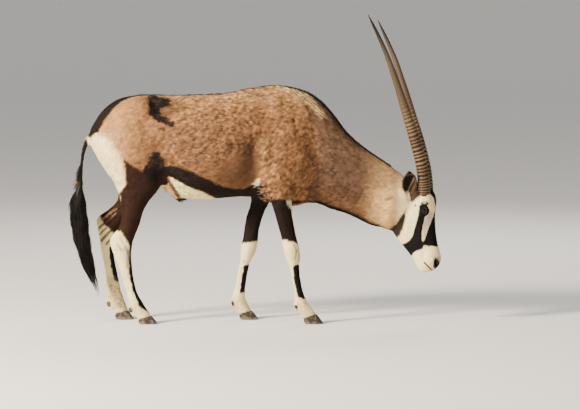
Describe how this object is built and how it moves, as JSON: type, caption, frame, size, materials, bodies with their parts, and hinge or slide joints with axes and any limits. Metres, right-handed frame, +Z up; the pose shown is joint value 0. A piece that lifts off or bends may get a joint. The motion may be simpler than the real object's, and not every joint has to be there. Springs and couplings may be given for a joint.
{
  "type": "gemsbok",
  "caption": "Life-size still gemsbok bull standing with its head lowered, long straight ringed horns, black and white face and leg markings.",
  "frame": {"origin": "floor point under the middle of the whole model's box", "axes": "+X the way the animal faces, +Y its left side, +Z up; the soles stand on z 0"},
  "size_m": [1.8541, 0.4832, 1.5372],
  "materials": {
    "cannon": "short flat coat, off-white",
    "claw": "horn of the hoof, dull",
    "dewclaw": "horn, dull",
    "ear": "short coat",
    "eye": "wet, dark",
    "forearm": "short flat coat, black-brown",
    "gaskin": "short flat coat, black-brown",
    "head": "short flat coat, off-white with black blaze",
    "horn": "ringed horn, satin",
    "jaw": "short flat coat, off-white",
    "neck": "short flat coat, fawn grey-brown",
    "pastern": "short flat coat, off-white",
    "tail": "short coat, dark",
    "tassel": "long hair, black",
    "trunk": "short flat coat, fawn grey-brown"
  },
  "bodies": {
    "root": {"ear_left": "ear", "ear_right": "ear", "eye_left": "eye", "eye_right": "eye", "head": "head", "horn_left": "horn", "horn_right": "horn", "jaw": "jaw", "left_fore_cannon": "cannon", "left_fore_claw_inner": "claw", "left_fore_claw_outer": "claw", "left_fore_dewclaw_inner": "dewclaw", "left_fore_dewclaw_outer": "dewclaw", "left_fore_forearm": "forearm", "left_fore_pastern": "pastern", "left_hind_cannon": "cannon", "left_hind_claw_inner": "claw", "left_hind_claw_outer": "claw", "left_hind_dewclaw_inner": "dewclaw", "left_hind_dewclaw_outer": "dewclaw", "left_hind_gaskin": "gaskin", "left_hind_pastern": "pastern", "neck": "neck", "right_fore_cannon": "cannon", "right_fore_claw_inner": "claw", "right_fore_claw_outer": "claw", "right_fore_dewclaw_inner": "dewclaw", "right_fore_dewclaw_outer": "dewclaw", "right_fore_forearm": "forearm", "right_fore_pastern": "pastern", "right_hind_cannon": "cannon", "right_hind_claw_inner": "claw", "right_hind_claw_outer": "claw", "right_hind_dewclaw_inner": "dewclaw", "right_hind_dewclaw_outer": "dewclaw", "right_hind_gaskin": "gaskin", "right_hind_pastern": "pastern", "tail_dock": "tail", "tail_tassel": "tassel", "trunk": "trunk"}
  },
  "joints": []
}
